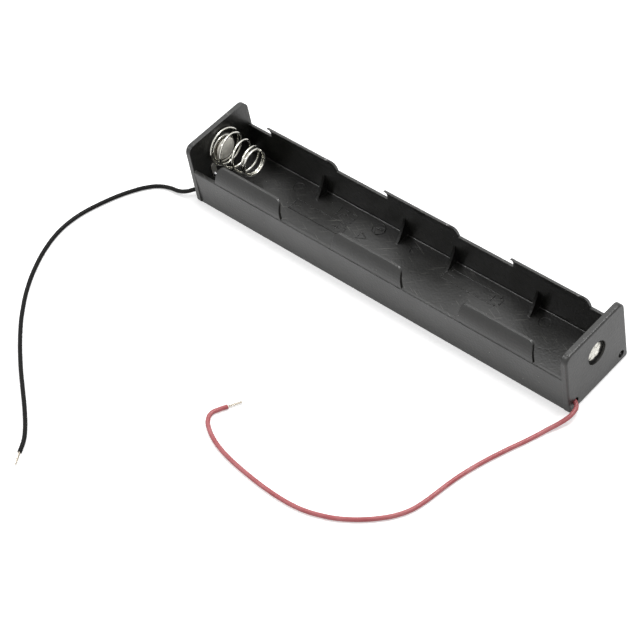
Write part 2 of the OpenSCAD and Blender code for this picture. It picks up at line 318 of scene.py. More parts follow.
def set_round(tree: Tree, shape: Socket, count: Socket | int, axis: str, angle: Socket) -> Socket:
    """Sets copies of a shape round an axis.

    Args:
        tree: The geometry tree.
        shape: What is copied.
        count: Number of copies.
        axis: X, Y or Z.
        angle: Turn of each copy.

    Returns:
        The copies.
    """
    points = add_node(tree, "GeometryNodePoints", links={"Count": count})
    turn = add_node(tree, "ShaderNodeCombineXYZ", links={axis: angle})
    links = {"Points": points.outputs[0], "Instance": shape, "Rotation": turn.outputs[0]}
    return add_node(tree, "GeometryNodeInstanceOnPoints", links=links).outputs[0]


def grown(name: str, label: str, tree: Tree) -> Piece:
    """Makes a plain mesh of what a geometry tree builds.

    Args:
        name: Name of the piece.
        label: Name of its modifier.
        tree: The tree.

    Returns:
        The piece.
    """
    holder = linked(name, bpy.data.meshes.new(name))
    holder.modifiers.new(label, "NODES").node_group = tree
    return settled(holder)


def inward_turn(side: Side) -> Matrix:
    """Turns what is built along +X so that it points into the tray.

    Args:
        side: The end of the tray.

    Returns:
        The turn.
    """
    return Matrix.Identity(4) if side is Side.SPRING else Matrix.Rotation(math.pi, 4, "Z")


def lathe(mesh: BMesh, profile: Sequence[tuple[float, float]], steps: int = 72) -> list[Vert]:
    """Turns a closed solid about the X axis.

    Args:
        mesh: The mesh to add to.
        profile: (x, radius) pairs that start and end on the axis.
        steps: Faces round the axis.

    Returns:
        The new vertices.
    """
    rings: list[list[Vert]] = []
    for x, radius in profile:
        if radius < ON_AXIS:
            rings.append([mesh.verts.new((x, 0.0, 0.0))])
            continue
        turns = [2 * math.pi * k / steps for k in range(steps)]
        ring = [(x, radius * math.cos(a), radius * math.sin(a)) for a in turns]
        rings.append([mesh.verts.new(point) for point in ring])
    for low, high in zip(rings[:-1], rings[1:]):
        for k in range(steps):
            corners = [low[k % len(low)], low[(k + 1) % len(low)]]
            corners += [high[(k + 1) % len(high)], high[k % len(high)]]
            once = list(dict.fromkeys(corners))
            if len(once) > 2:
                mesh.faces.new(once)
    made = [v for ring in rings for v in ring]
    faces = list({f for v in made for f in v.link_faces})
    bmesh.ops.recalc_face_normals(mesh, faces=faces)
    return made


def arc(
    centre: tuple[float, float], radius: float, start_deg: float, end_deg: float, steps: int
) -> list[tuple[float, float]]:
    """Points along an arc, both ends included.

    Args:
        centre: Centre of the arc.
        radius: Its radius.
        start_deg: Angle of the first point.
        end_deg: Angle of the last point.
        steps: Stretches between the points.

    Returns:
        The points in order.
    """
    angles = [math.radians(start_deg + (end_deg - start_deg) * k / steps) for k in range(steps + 1)]
    return [(centre[0] + radius * math.cos(a), centre[1] + radius * math.sin(a)) for a in angles]


def settled(piece: Piece) -> Piece:
    """Applies every modifier of a piece, so that it is a plain mesh.

    Args:
        piece: The piece with live modifiers.

    Returns:
        The same piece.
    """
    graph = bpy.context.evaluated_depsgraph_get()
    plain = bpy.data.meshes.new_from_object(piece.evaluated_get(graph), depsgraph=graph)
    plain.name = piece.name
    piece.modifiers.clear()
    piece.data = plain
    return piece


def dressed(piece: Piece, material: Material, slot: str, *nodes: str) -> Piece:
    """Gives a piece its material and its place on the body, and hides the CAD nodes that it stands
    for.

    Args:
        piece: The finished piece.
        material: Its material.
        slot: The record's slot. Not used.
        nodes: CAD nodes that it stands for.

    Returns:
        The same piece.
    """
    piece.data.materials.clear()
    piece.data.materials.append(material)
    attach(piece, BODY)
    if nodes:
        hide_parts(*nodes)
    log.info("made %s", piece.name)
    return piece


class Side(Enum):
    """The two ends of the tray, by the direction in which each lies."""

    SPRING = -1
    BUTTON = 1


# ------------------------------------------------------------------- finishes


class Finish(ABC):
    """One kind of surface, made into a material once and shared."""

    name: str

    def material(self) -> Material:
        """Returns this finish's material, made at its first use."""
        found = bpy.data.materials.get(self.name)
        if found is None:
            found = bpy.data.materials.new(self.name)
            found.use_nodes = True
            self.build(found.node_tree, found.node_tree.nodes["Principled BSDF"])
        return found

    @abstractmethod
    def build(self, tree: Tree, shader: Node) -> None:
        """Fills in the material's tree.

        Args:
            tree: The material's nodes.
            shader: Its Principled BSDF.
        """

    @staticmethod
    def patches(
        tree: Tree, size: float, detail: float, *ranges: tuple[float, float]
    ) -> list[Socket]:
        """Adds soft patches on Object coordinates.

        Args:
            tree: The material's nodes.
            size: Size of one patch, in metres.
            detail: Finer octaves in the patches.
            ranges: Low and high value, to which the middle of the patches is mapped.

        Returns:
            The patches themselves, then one value for each range.
        """
        place = add_node(tree, "ShaderNodeTexCoord").outputs["Object"]
        links = {"Vector": place, "Scale": 1 / size, "Detail": detail}
        patch = add_node(tree, "ShaderNodeTexNoise", links=links).outputs["Fac"]
        made = [patch]
        for low, high in ranges:
            links = {"Value": patch, "To Min": low, "To Max": high}
            links |= {"From Min": NOISE_LOW, "From Max": NOISE_HIGH}
            made.append(add_node(tree, "ShaderNodeMapRange", links=links).outputs["Result"])
        return made

    @staticmethod
    def layered(tree: Tree, base: str, layers: Sequence[tuple[Socket, str]]) -> Socket:
        """Lays hex colours over a first one, in order.

        Args:
            tree: The material's nodes.
            base: The colour at the bottom.
            layers: How much each layer covers, from 0 to 1, and its colour.

        Returns:
            The colour.
        """
        colour: object = linear(base)
        for share, top in layers:
            links = {"Factor": share, 6: colour, 7: linear(top)}
            colour = add_node(tree, "ShaderNodeMix", {"data_type": "RGBA"}, links).outputs[2]
        return colour


@dataclass(frozen=True)
class MouldedStyrene(Finish):
    """Black polystyrene, injection moulded in a spark-eroded tool.

    That gives the eye a satin black whose highlights are wide and grey, with a fine grain,
    faint scratches from cells that slid in and out, and a few pale specks of dust.
    """

    name: str = "black_moulded_polystyrene"
    base: str = "#151513"
    flow: str = "#1C1C1A"
    worn: str = "#62625D"
    dust: str = "#A6A6A0"
    roughness: float = 0.33
    grain: float = 0.8 * MM
    grain_depth: float = 0.1 * MM
    edge_round: float = 0.25 * MM
    flow_size: float = 12 * MM
    scratch_l: float = 9 * MM
    scratch_w: float = 0.3 * MM
    scratch_turns: tuple[float, ...] = (24.0, -38.0)
    speck_size: float = 1.3 * MM
    speck_r: float = 0.075
    speck_share: float = 0.1
    sheen_range: tuple[float, float] = (-0.05, 0.06)
    grain_strength: float = 0.8
    edge_samples: int = 6
    ior: float = 1.59
    scratch_levels: tuple[float, float] = (0.66, 0.76)
    level_from: float = 0.8

    def scratches(self, tree: Tree, turn: float) -> Socket:
        """Adds short straight scratches that all lie one way, on faces that look up.

        Args:
            tree: The material's nodes.
            turn: Their angle to the length of the part, in degrees.

        Returns:
            1 on a scratch, 0 between them.
        """
        place = add_node(tree, "ShaderNodeTexCoord")
        links = {"Vector": place.outputs["Object"], "Rotation": (0.0, 0.0, math.radians(turn))}
        turned = add_node(tree, "ShaderNodeMapping", links=links)
        stretch = (1 / self.scratch_l, 1 / self.scratch_w, 1 / self.scratch_l)
        links = {"Vector": turned.outputs["Vector"], "Scale": stretch}
        stretched = add_node(tree, "ShaderNodeMapping", links=links)
        links = {"Vector": stretched.outputs["Vector"], "Scale": 1.0}
        streaks = add_node(tree, "ShaderNodeTexNoise", links=links)
        low, high = self.scratch_levels
        links = {"Value": streaks.outputs["Fac"], "From Min": low, "From Max": high}
        lines = add_node(tree, "ShaderNodeMapRange", links=links).outputs["Result"]
        facing = add_node(tree, "ShaderNodeSeparateXYZ", links={"Vector": place.outputs["Normal"]})
        links = {0: facing.outputs["Z"], 1: self.level_from}
        level = add_node(tree, "ShaderNodeMath", {"operation": "GREATER_THAN"}, links)
        links = {0: lines, 1: level.outputs[0]}
        return add_node(tree, "ShaderNodeMath", {"operation": "MULTIPLY"}, links).outputs[0]

    def specks(self, tree: Tree) -> Socket:
        """Adds specks of dust: the very middle of a few random cells.

        Args:
            tree: The material's nodes.

        Returns:
            1 on a speck, 0 between them.
        """
        place = add_node(tree, "ShaderNodeTexCoord").outputs["Object"]
        links = {"Vector": place, "Scale": 1 / self.speck_size}
        cells = add_node(tree, "ShaderNodeTexVoronoi", links=links)
        lot = add_node(tree, "ShaderNodeSeparateColor", links={"Color": cells.outputs["Color"]})
        kept = []
        for value, limit in (
            (cells.outputs["Distance"], self.speck_r),
            (lot.outputs[0], self.speck_share),
        ):
            links = {0: value, 1: limit}
            kept.append(add_node(tree, "ShaderNodeMath", {"operation": "LESS_THAN"}, links))
        links = {0: kept[0].outputs[0], 1: kept[1].outputs[0]}
        return add_node(tree, "ShaderNodeMath", {"operation": "MULTIPLY"}, links).outputs[0]

    def build(self, tree: Tree, shader: Node) -> None:
        """Fills in the material's tree.

        Args:
            tree: The material's nodes.
            shader: Its Principled BSDF.
        """
        low, high = (self.roughness + step for step in self.sheen_range)
        _, flow, sheen = self.patches(tree, self.flow_size, 5.0, (0.0, 1.0), (low, high))
        layers = [(flow, self.flow)]
        layers += [(self.scratches(tree, turn), self.worn) for turn in self.scratch_turns]
        layers += [(self.specks(tree), self.dust)]
        links = {"Radius": self.edge_round}
        rounded = add_node(tree, "ShaderNodeBevel", {"samples": self.edge_samples}, links)
        links = {
            "Height": self.patches(tree, self.grain, 3.0)[0],
            "Distance": self.grain_depth,
            "Strength": self.grain_strength,
            "Normal": rounded.outputs["Normal"],
        }
        grained = add_node(tree, "ShaderNodeBump", links=links)
        links = {
            "Base Color": self.layered(tree, self.base, layers),
            "Roughness": sheen,
            "Normal": grained.outputs["Normal"],
            "IOR": self.ior,
        }
        feed(tree, shader, links)


@dataclass(frozen=True)
class BrightMetal(Finish):
    """A plated or drawn metal, which shows its surroundings with slight waves.

    Args are its colours and how rough, how wavy and how finely marked it is.
    """

    name: str = "nickel_plate"
    base: str = "#E6E4DD"
    tarnish: str = "#CBC8BD"
    roughness: float = 0.4
    spread_of_roughness: float = 0.08
    mark_size: float = 1.5 * MM
    mark_depth: float = 0.003 * MM
    stain_size: float = 2.5 * MM
    stain_share: float = 0.7
    mark_strength: float = 0.5

    def build(self, tree: Tree, shader: Node) -> None:
        """Fills in the material's tree.

        Args:
            tree: The material's nodes.
            shader: Its Principled BSDF.
        """
        _, stain = self.patches(tree, self.stain_size, 4.0, (0.0, self.stain_share))
        low = self.roughness - self.spread_of_roughness
        high = self.roughness + self.spread_of_roughness
        marks, sheen = self.patches(tree, self.mark_size, 3.0, (low, high))
        links = {"Height": marks, "Distance": self.mark_depth, "Strength": self.mark_strength}
        waved = add_node(tree, "ShaderNodeBump", links=links)
        links = {
            "Base Color": self.layered(tree, self.base, [(stain, self.tarnish)]),
            "Roughness": sheen,
            "Normal": waved.outputs["Normal"],
            "Metallic": 1.0,
        }
        feed(tree, shader, links)


@dataclass(frozen=True)
class Insulation(Finish):
    """Soft extruded vinyl on a thin hook-up wire.

    That gives the eye an even colour with a soft wide sheen, and small scuffs where the
    wire has been handled.
    """

    name: str
    base: str
    scuffed: str
    specular: float
    roughness: float = 0.42
    sheen_range: tuple[float, float] = (-0.05, 0.07)
    blotch_size: float = 6 * MM
    skin_size: float = 0.4 * MM
    skin_depth: float = 0.015 * MM
    skin_strength: float = 0.4
    ior: float = 1.53

    def build(self, tree: Tree, shader: Node) -> None:
        """Fills in the material's tree.

        Args:
            tree: The material's nodes.
            shader: Its Principled BSDF.
        """
        _, scuffs = self.patches(tree, self.blotch_size, 4.0, (0.0, 1.0))
        low, high = (self.roughness + step for step in self.sheen_range)
        skin, sheen = self.patches(tree, self.skin_size, 3.0, (low, high))
        links = {"Height": skin, "Distance": self.skin_depth, "Strength": self.skin_strength}
        dimpled = add_node(tree, "ShaderNodeBump", links=links)
        links = {
            "Base Color": self.layered(tree, self.base, [(scuffs, self.scuffed)]),
            "Roughness": sheen,
            "Normal": dimpled.outputs["Normal"],
            "IOR": self.ior,
            "Specular IOR Level": self.specular,
        }
        feed(tree, shader, links)


def ray_strength(tree: Tree, lights: float, reflects: float, shows: float) -> Socket:
    """Makes a strength that differs by what a ray is for.

    Args:
        tree: The shader tree.
        lights: Strength for the rays that light matt surfaces.
        reflects: Strength for glossy and transmission rays.
        shows: Strength for camera rays.

    Returns:
        The socket that carries the strength.
    """
    rays = add_node(tree, "ShaderNodeLightPath")
    links = {0: rays.outputs["Is Glossy Ray"], 1: rays.outputs["Is Transmission Ray"]}
    mirrored = add_node(tree, "ShaderNodeMath", {"operation": "MAXIMUM"}, links).outputs[0]
    strength: float | Socket = lights
    for ray, high in ((mirrored, reflects), (rays.outputs["Is Camera Ray"], shows)):
        links = {"Value": ray, "To Min": strength, "To Max": high}
        strength = add_node(tree, "ShaderNodeMapRange", links=links).outputs["Result"]
    return strength


@dataclass(frozen=True)
class StudioPaper(Finish):
    """White paper sweep, which glows a little so that it shows white, and keeps the shadow.

    The glow is for the camera and for reflections. It puts no light on the object.
    """

    name: str = "white_paper_sweep"
    base: str = "#F4F4F4"
    reflected_glow: float = 0.34
    shown_glow: float = 0.5
    roughness: float = 0.9

    def build(self, tree: Tree, shader: Node) -> None:
        """Fills in the material's tree.

        Args:
            tree: The material's nodes.
            shader: Its Principled BSDF.
        """
        links = {
            "Base Color": linear(self.base),
            "Roughness": self.roughness,
            "Specular IOR Level": 0.0,
            "Emission Color": WHITE,
            "Emission Strength": ray_strength(tree, 0.0, self.reflected_glow, self.shown_glow),
        }
        feed(tree, shader, links)


STYRENE = MouldedStyrene()
NICKEL = BrightMetal()
# A rougher copy of the nickel. Its lighter colour is a painted highlight, so the spring-end rivet
# head looks brighter than the lamps light it.
DULL_NICKEL_PAINTED_BRIGHT = BrightMetal("dull_nickel_plate", "#F0EEE8", "#DEDBD2", 0.7)
SPRING_WIRE = BrightMetal("nickel_plated_spring_wire", "#ECEBE4", "#D6D4C8", 0.2, 0.04, 2 * MM)
SOLDER = BrightMetal("tin_lead_solder", "#D2D3D4", "#B4B4B2", 0.25, 0.08, 0.6 * MM, 0.01 * MM)
TINNED = BrightMetal("tinned_copper_strand", "#C8C2B6", "#A2978A", 0.3, 0.08, 0.6 * MM)
BLACK_VINYL = Insulation("black_vinyl_insulation", "#0B0B0B", "#131312", 0.12)
RED_VINYL = Insulation("red_vinyl_insulation", "#AE5256", "#BE7072", 0.5)


# --------------------------------------------------------------------- pieces


@dataclass
class Moulding:
    """The tray: floor, walls, end plates, clips and ribs in one moulding.

    Its solid has the true form. This gives its edges the small round that a moulding has,
    which is where it catches the light.
    """

    edge_round: float = 0.2 * MM
    rim_round: float = 0.65 * MM
    round_steps: int = 3
    opening_gap: float = 0.2 * MM
    sharp_deg: float = 32.0
    pocket_r: float = 4.2 * MM
    hole_r: float = 1.35 * MM
    finish: Finish = STYRENE

    def rim_edges(self, mesh: BMesh) -> list[bmesh.types.BMEdge]:
        """Finds the edges round the outer faces of the two end plates.

        Args:
            mesh: The tray's mesh.

        Returns:
            The edges, without those of the pocket and of the wire holes.
        """
        far = max(v.co.x for v in mesh.verts) - MERGE
        openings = [(0.0, AXIS_Z, self.pocket_r)]
        openings += [(side * HOLE_Y, HOLE_Z, self.hole_r) for side in (-1, 1)]
        found = []
        for edge in mesh.edges:
            middle = (edge.verts[0].co + edge.verts[1].co) / 2
            near = min(math.hypot(middle.y - y, middle.z - z) - r for y, z, r in openings)
            if all(abs(v.co.x) > far for v in edge.verts) and near > self.opening_gap:
                found.append(edge)
        return [e for e in found if e.calc_face_angle(0.0) > math.radians(self.sharp_deg)]

    def build(self, frame: dict) -> Piece:
        """Builds the tray around its solid.


        Returns:
            The piece.
        """
        mesh = solid_mesh(frame, "tray")
        bmesh.ops.bevel(
            mesh,
            geom=self.rim_edges(mesh),
            offset=self.rim_round,
            segments=self.round_steps + 1,
            profile=0.5,
            affect="EDGES",
            clamp_overlap=True,
        )
        piece = mesh_piece("tray_moulding", mesh, self.sharp_deg)
        bevelled(piece, self.edge_round, self.round_steps, self.sharp_deg)
        piece.modifiers.new("flat_faces", "WEIGHTED_NORMAL").keep_sharp = True
        settled(piece)
        return dressed(piece, self.finish.material(), "moulding", "tray")


@dataclass
class FloorMarks:
    """Raised marks on the floor: outlines of cells with their poles, numbers and an arrow.

    Each is a low moulded ridge, like the lettering of such a holder, and names nothing.
    """

    line_w: float = 0.5 * MM
    raised: float = 0.16 * MM
    top_share: float = 0.15
    cell_l: float = 22 * MM
    cell_w: float = 4.8 * MM
    nub_l: float = 1.2 * MM
    nub_w: float = 2.2 * MM
    sign: float = 2.4 * MM
    digit: float = 3.8 * MM
    digit_pitch: float = 3.6 * MM
    ring_r: float = 2.3 * MM
    ring_sides: int = 20
    arrow: float = 1.6 * MM
    cells_at: tuple[tuple[float, float], ...] = ((-39 * MM, 2.2 * MM), (24 * MM, 7.4 * MM))
    count_at: tuple[float, float] = (-32 * MM, 8 * MM)
    ring_at: tuple[float, float] = (-17.8 * MM, 9.6 * MM)
    arrow_at: tuple[float, float] = (-20 * MM, 3.8 * MM)
    floor_t: float = 1.75 * MM
    finish: Finish = STYRENE

    def bar(self, mesh: BMesh, start: Vector, end: Vector) -> None:
        """Adds one raised line with sloping sides.

        Args:
            mesh: The mesh to add to.
            start: One end of its middle line, on the floor.
            end: The other end.
        """
        along = (end - start).normalized()
        side = UP.cross(along)
        foot, top = self.line_w / 2, self.line_w * self.top_share
        corners: list[Vert] = []
        for half, height in ((foot, -self.raised / 2), (top, self.raised)):
            for point, back in ((start, -1), (end, 1)):
                for over in (-1, 1):
                    place = point + along * back * half + side * over * half + UP * height
                    corners.append(mesh.verts.new(place))
        low, high = corners[:4], corners[4:]
        order = [0, 1, 3, 2]
        faces = [mesh.faces.new([high[k] for k in order])]
        for k in range(4):
            a, b = order[k], order[(k + 1) % 4]
            faces.append(mesh.faces.new([low[a], low[b], high[b], high[a]]))
        faces.append(mesh.faces.new([low[k] for k in reversed(order)]))
        bmesh.ops.recalc_face_normals(mesh, faces=faces)

    def loop(self, mesh: BMesh, centre: Vector, corners: Sequence[tuple[float, float]]) -> None:
        """Adds a closed outline.

        Args:
            mesh: The mesh to add to.
            centre: Its middle, on the floor.
            corners: Its corners from that middle.
        """
        points = [centre + Vector((x, y, 0.0)) for x, y in corners]
        for start, end in zip(points, points[1:] + points[:1]):
            self.bar(mesh, start, end)

    def cell(self, mesh: BMesh, centre: Vector) -> None:
        """Adds the outline of a lying cell, with its nub and its two poles.

        Args:
            mesh: The mesh to add to.
            centre: Middle of the cell, on the floor.
        """
        half_l, half_w, half_n = self.cell_l / 2, self.cell_w / 2, self.nub_w / 2
        upper = [
            (half_l + self.nub_l, half_n),
            (half_l, half_n),
            (half_l, half_w),
            (-half_l, half_w),
        ]
        self.loop(mesh, centre, upper + [(x, -y) for x, y in reversed(upper)])
        reach = Vector((half_l - self.sign, 0.0, 0.0))
        half = Vector((0.0, self.sign / 2, 0.0))
        turned = Vector((self.sign / 2, 0.0, 0.0))
        for place, arms in ((centre - reach, [turned]), (centre + reach, [half, turned])):
            for arm in arms:
                self.bar(mesh, place - arm, place + arm)

    def number(self, mesh: BMesh, text: str, centre: Vector) -> None:
        """Adds a raised number, drawn with the straight strokes of a display.

        Args:
            mesh: The mesh to add to.
            text: A digit from 1 to 3.
            centre: Its middle, on the floor.
        """
        half_h, half_w = self.digit / 2, self.digit / 4
        strokes = {
            "top": ((-half_w, half_h), (half_w, half_h)),
            "upper_right": ((half_w, half_h), (half_w, 0.0)),
            "middle": ((half_w, 0.0), (-half_w, 0.0)),
            "lower_left": ((-half_w, 0.0), (-half_w, -half_h)),
            "lower_right": ((half_w, 0.0), (half_w, -half_h)),
            "bottom": ((-half_w, -half_h), (half_w, -half_h)),
        }
        drawn = {
            "1": ("upper_right", "lower_right"),
            "2": ("top", "upper_right", "middle", "lower_left", "bottom"),
            "3": ("top", "upper_right", "middle", "lower_right", "bottom"),
        }
        for stroke in drawn[text]:
            start, end = (centre + Vector((x, y, 0.0)) for x, y in strokes[stroke])
            self.bar(mesh, start, end)

    def ring(self, mesh: BMesh, centre: Vector) -> None:
        """Adds a ring around a minus sign, for the pole at the spring's end.

        Args:
            mesh: The mesh to add to.
            centre: Its middle, on the floor.
        """
        turns = [2 * math.pi * k / self.ring_sides for k in range(self.ring_sides)]
        corners = [(self.ring_r * math.cos(t), self.ring_r * math.sin(t)) for t in turns]
        self.loop(mesh, centre, corners)
        arm = Vector((self.sign / 2, 0.0, 0.0))
        self.bar(mesh, centre - arm, centre + arm)

    def build(self) -> Piece:
        """Builds all the marks as one piece.

        Returns:
            The piece.
        """
        mesh = bmesh.new()
        for place in self.cells_at:
            self.cell(mesh, Vector((*place, self.floor_t)))
        for step, text in enumerate("123", start=-1):
            shift = Vector((step * self.digit_pitch, 0.0, 0.0))
            self.number(mesh, text, Vector((*self.count_at, self.floor_t)) + shift)
        self.ring(mesh, Vector((*self.ring_at, self.floor_t)))
        tip = [(self.arrow, 0.0), (-self.arrow, self.arrow), (-self.arrow, -self.arrow)]
        self.loop(mesh, Vector((*self.arrow_at, self.floor_t)), tip)
        return dressed(mesh_piece("floor_marks", mesh, 20.0), self.finish.material(), "moulding")


@dataclass
class ContactSpring:
    """The coil contact: a cone of nickel-plated wire, flat under its rivet.

    Its line follows the same rule as its solid, with a finer and rounder wire.
    """

    wire_d: float = 0.8 * MM
    seat_r: float = 2.8 * MM
    base_r: float = 6.9 * MM
    tip_r: float = 4.7 * MM
    lift: float = 0.6 * MM
    seat_turns: float = 1.25
    base_turns: float = 0.35
    cone_turns: float = 3.2
    tip_turns: float = 1.6
    rise: float = 13.5 * MM
    ease: float = 1 / 25
    seat_depth: float = 2.9 * MM
    steps_a_turn: int = 72
    sides: int = 20
    finish: Finish = SPRING_WIRE

    def tree(self) -> Tree:
        """Builds the geometry tree that winds the spring.

        Returns:
            The tree, with an input for each of its sizes.
        """
        sizes = {
            "Wire": self.wire_d,
            "Seat radius": self.seat_r,
            "Base radius": self.base_r,
            "Tip radius": self.tip_r,
            "Seat turns": self.seat_turns,
            "Base turns": self.base_turns,
            "Cone turns": self.cone_turns,
            "Tip turns": self.tip_turns,
            "Rise": self.rise,
        }
        tree = new_tree("wind_spring", sizes)
        a_turn, circle = float(self.steps_a_turn), 2 * math.pi
        formulas = (
            ("cone end", "ADD", "Base turns", "Cone turns"),
            ("closed from", "ADD", "Seat turns", "cone end"),
            ("all turns", "ADD", "closed from", "Tip turns"),
            ("count", "MULTIPLY", "all turns", a_turn),
            ("wound", "DIVIDE", "index", a_turn),
            ("turn", "SUBTRACT", "wound", "Seat turns"),
            # Flat spiral below turn 0, and a steady taper above it.
            ("below", "MINIMUM", "turn", 0.0),
            ("spiral", "DIVIDE", "below", "Seat turns"),
            ("widening", "SUBTRACT", "Base radius", "Seat radius"),
            ("way up", "DIVIDE", "turn", "cone end"),
            ("way from 0", "MAXIMUM", "way up", 0.0),
            ("taper", "MINIMUM", "way from 0", 1.0),
            ("narrowing", "SUBTRACT", "Tip radius", "Base radius"),
            ("spiral radius", "MULTIPLY_ADD", "spiral", "widening", "Base radius"),
            ("radius", "MULTIPLY_ADD", "taper", "narrowing", "spiral radius"),
            # The rise is slow at both ends, and the last turns lie against each other.
            ("past base", "SUBTRACT", "turn", "Base turns"),
            ("share", "DIVIDE", "past base", "Cone turns"),
            ("share from 0", "MAXIMUM", "share", 0.0),
            ("risen", "MINIMUM", "share from 0", 1.0),
            ("phase", "MULTIPLY", "risen", circle),
            ("swing", "SINE", "phase"),
            ("eased", "MULTIPLY_ADD", "swing", -self.ease, "risen"),
            ("past cone", "SUBTRACT", "turn", "cone end"),
            ("closed", "MAXIMUM", "past cone", 0.0),
            ("closed height", "MULTIPLY", "closed", "Wire"),
            ("height", "MULTIPLY_ADD", "eased", "Rise", "closed height"),
            ("angle", "MULTIPLY", "turn", circle),
            ("cosine", "COSINE", "angle"),
            ("sine", "SINE", "angle"),
            ("across", "MULTIPLY", "radius", "cosine"),
            ("up", "MULTIPLY", "radius", "sine"),
            ("half wire", "MULTIPLY", "Wire", 0.5),
        )
        known = work_out(tree, formulas)
        links = {"Count": known["count"]}
        line = add_node(tree, "GeometryNodeMeshLine", {"mode": "OFFSET"}, links).outputs[0]
        place = {"X": known["height"], "Y": known["across"], "Z": known["up"]}
        wire = wire_along(tree, line, place, known["half wire"], self.sides)
        return finish_tree(tree, wire, self.finish.material())

    def build(self, end_x: float) -> Piece:
        """Builds the spring on its plate.

        Args:
            end_x: The plate's outer face.

        Returns:
            The piece.
        """
        piece = grown("coil_contact", "wind", self.tree())
        place = Vector((end_x + self.seat_depth, 0.0, AXIS_Z + self.lift))
        piece.data.transform(Matrix.Translation(place))
        smooth(piece.data, WIRE_SHARP)
        return dressed(piece, self.finish.material(), "spring_wire", "contact_spring")


@dataclass
class Rivet:
    """A hollow contact rivet: a domed head inside and a split, rolled end outside."""

    side: Side
    end_x: float
    grip: float
    plate_t: float = 2.2 * MM
    shank_r: float = 1.55 * MM
    bore_r: float = 0.9 * MM
    head_r: float = 4 * MM
    head_edge: float = 0.4 * MM
    head_soft: float = 0.15 * MM
    dome_h: float = 0.9 * MM
    pocket_depth: float = 1.3 * MM
    flare_r: float = 3.3 * MM
    flare_h: float = 0.5 * MM
    petals: int = 6
    slit: float = 0.3 * MM
    slit_at_bore: float = 0.25
    petal_steps: int = 10
    petal_sink: float = 0.12 * MM
    petal_roll: float = 0.9
    roll_h: float = 0.75
    side_lift: float = 0.1 * MM
    corner_trim: float = 0.05
    sheet_t: float = 0.16 * MM
    finish: Finish = NICKEL

    def head(self, mesh: BMesh) -> None:
        """Adds the shank and the domed head, along +X from the plate's outer face.

        Args:
            mesh: The mesh to add to.
        """
        seat = self.plate_t + self.grip
        soft = self.head_soft
        dome_r = (self.head_r**2 + self.dome_h**2) / (2 * self.dome_h)
        centre_x = seat + self.head_edge + self.dome_h - dome_r
        rim_deg = math.degrees(math.asin(self.head_r / dome_r))
        end = self.pocket_depth - self.flare_h / 2
        profile = [(end, 0.0), (end, self.bore_r), (end, self.shank_r), (seat, self.shank_r)]
        profile += [(seat, self.head_r - soft)]
        profile += arc((seat + soft, self.head_r - soft), soft, 180, 90, 4)
        profile += [(seat + self.head_edge - soft / 2, self.head_r)]
        profile += arc((centre_x, 0.0), dome_r, rim_deg - 1.0, 0.0, 16)[:-1]
        profile += [(centre_x + dome_r, 0.0)]
        lathe(mesh, profile)

    def petal_mesh(self) -> Piece:
        """Builds one rolled petal of the flared end, as the thing that is repeated.

        Returns:
            A hidden object with the petal.
        """
        mesh = bmesh.new()
        around = along = self.petal_steps
        half = math.pi / self.petals
        rows: list[list[Vert]] = []
        for i in range(along + 1):
            share = i / along
            radius = self.bore_r + (self.flare_r - self.bore_r) * share
            roll = math.sin(share * math.pi * self.petal_roll)
            height = self.pocket_depth - self.petal_sink - roll * self.flare_h * self.roll_h
            slit = self.slit * (self.slit_at_bore + (1 - self.slit_at_bore) * share)
            half_here = half - math.asin(min(slit / 2 / radius, 0.9))
            row = []
            for k in range(around + 1):
                across = -1 + 2 * k / around
                angle = half_here * across
                lifted = height + self.side_lift * across**2 * share
                edge = radius * (1 - self.corner_trim * abs(across) ** 3 * share)
                row.append(mesh.verts.new((lifted, edge * math.cos(angle), edge * math.sin(angle))))
            rows.append(row)
        for low, high in zip(rows[:-1], rows[1:]):
            for k in range(around):
                mesh.faces.new([low[k], low[k + 1], high[k + 1], high[k]])
        bmesh.ops.recalc_face_normals(mesh, faces=mesh.faces)
        outward = sum((f.normal.x * f.calc_area() for f in mesh.faces), 0.0)
        if outward > 0:
            bmesh.ops.reverse_faces(mesh, faces=mesh.faces)
        petal = mesh_piece("rivet_petal", mesh, 60.0)
        sheet = petal.modifiers.new("sheet", "SOLIDIFY")
        sheet.thickness = self.sheet_t
        sheet.offset = -1.0
        settled(petal)
        return petal

    def petal_tree(self, petal: Piece) -> Tree:
        """Builds the geometry tree that sets the petals round the bore.

        Args:
            petal: The petal to repeat.

        Returns:
            The tree, with an input for how many there are.
        """
        tree = new_tree("set_petals", {"Petals": self.petals})
        formulas = (
            ("step", "DIVIDE", 2 * math.pi, "Petals"),
            ("angle", "MULTIPLY", "index", "step"),
        )
        known = work_out(tree, formulas)
        source = add_node(tree, "GeometryNodeObjectInfo", links={"Object": petal})
        shape = source.outputs["Geometry"]
        copies = set_round(tree, shape, known["Petals"], "X", known["angle"])
        return finish_tree(tree, copies, self.finish.material())

    def build(self) -> Piece:
        """Builds the rivet at its end of the tray.

        Returns:
            The piece.
        """
        label = self.side.name.lower()
        petal = self.petal_mesh()
        holder = grown(f"petals_{label}", "set", self.petal_tree(petal))
        mesh = bmesh.new()
        mesh.from_mesh(holder.data)
        self.head(mesh)
        for spare in (petal, holder):
            bpy.data.objects.remove(spare)
        place = Matrix.Translation(Vector((self.end_x, 0.0, AXIS_Z)))
        bmesh.ops.transform(mesh, matrix=place @ inward_turn(self.side), verts=mesh.verts)
        piece = mesh_piece(f"{label}_contact_rivet", mesh, 35.0)
        return dressed(piece, self.finish.material(), "plated_metal", f"{label}_rivet")


